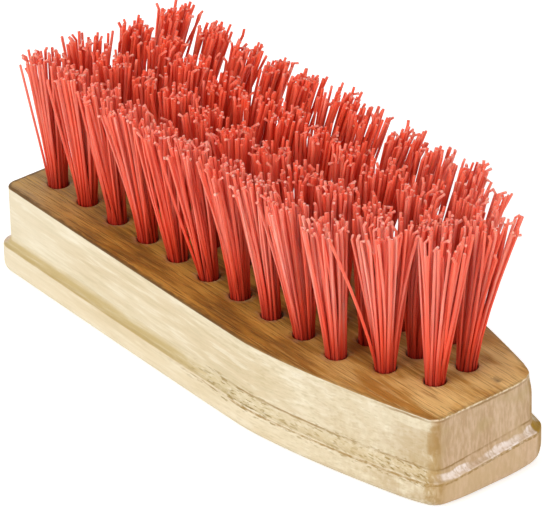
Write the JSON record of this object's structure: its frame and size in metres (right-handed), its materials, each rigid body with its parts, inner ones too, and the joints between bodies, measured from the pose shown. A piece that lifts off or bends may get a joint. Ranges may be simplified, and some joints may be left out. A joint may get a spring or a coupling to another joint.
{
  "type": "hoof brush",
  "caption": "Hand-held hoof brush: a stepped wooden block, blunt at the rear and tapered to a narrow nose, with stiff coral plastic bristle tufts seated in drilled holes.",
  "frame": {"origin": "middle of the block's flat back, on the surface that the brush lies on", "axes": "+X along the block towards its narrow nose, +Y across the block, +Z from the flat back up to the bristle tips"},
  "size_m": [0.15, 0.0552, 0.0577],
  "materials": {
    "wood": "bare pale hardwood, smooth sanded with a browner bristle face",
    "filament": "stiff extruded plastic filament with a soft sheen"
  },
  "bodies": {
    "root": {"block": "wood", "tuft_column01_row1": "filament", "tuft_column01_row2": "filament", "tuft_column01_row3": "filament", "tuft_column01_row4": "filament", "tuft_column02_row1": "filament", "tuft_column02_row2": "filament", "tuft_column02_row3": "filament", "tuft_column02_row4": "filament", "tuft_column03_row1": "filament", "tuft_column03_row2": "filament", "tuft_column03_row3": "filament", "tuft_column03_row4": "filament", "tuft_column04_row1": "filament", "tuft_column04_row2": "filament", "tuft_column04_row3": "filament", "tuft_column04_row4": "filament", "tuft_column05_row1": "filament", "tuft_column05_row2": "filament", "tuft_column05_row3": "filament", "tuft_column05_row4": "filament", "tuft_column06_row1": "filament", "tuft_column06_row2": "filament", "tuft_column06_row3": "filament", "tuft_column06_row4": "filament", "tuft_column07_row1": "filament", "tuft_column07_row2": "filament", "tuft_column07_row3": "filament", "tuft_column07_row4": "filament", "tuft_column08_row1": "filament", "tuft_column08_row2": "filament", "tuft_column08_row3": "filament", "tuft_column08_row4": "filament", "tuft_column09_row1": "filament", "tuft_column09_row2": "filament", "tuft_column09_row3": "filament", "tuft_column09_row4": "filament", "tuft_column10_row1": "filament", "tuft_column10_row2": "filament", "tuft_column10_row3": "filament", "tuft_column10_row4": "filament", "tuft_column11_row1": "filament", "tuft_column11_row2": "filament", "tuft_column11_row3": "filament", "tuft_column12_row1": "filament", "tuft_column12_row2": "filament"}
  },
  "joints": []
}
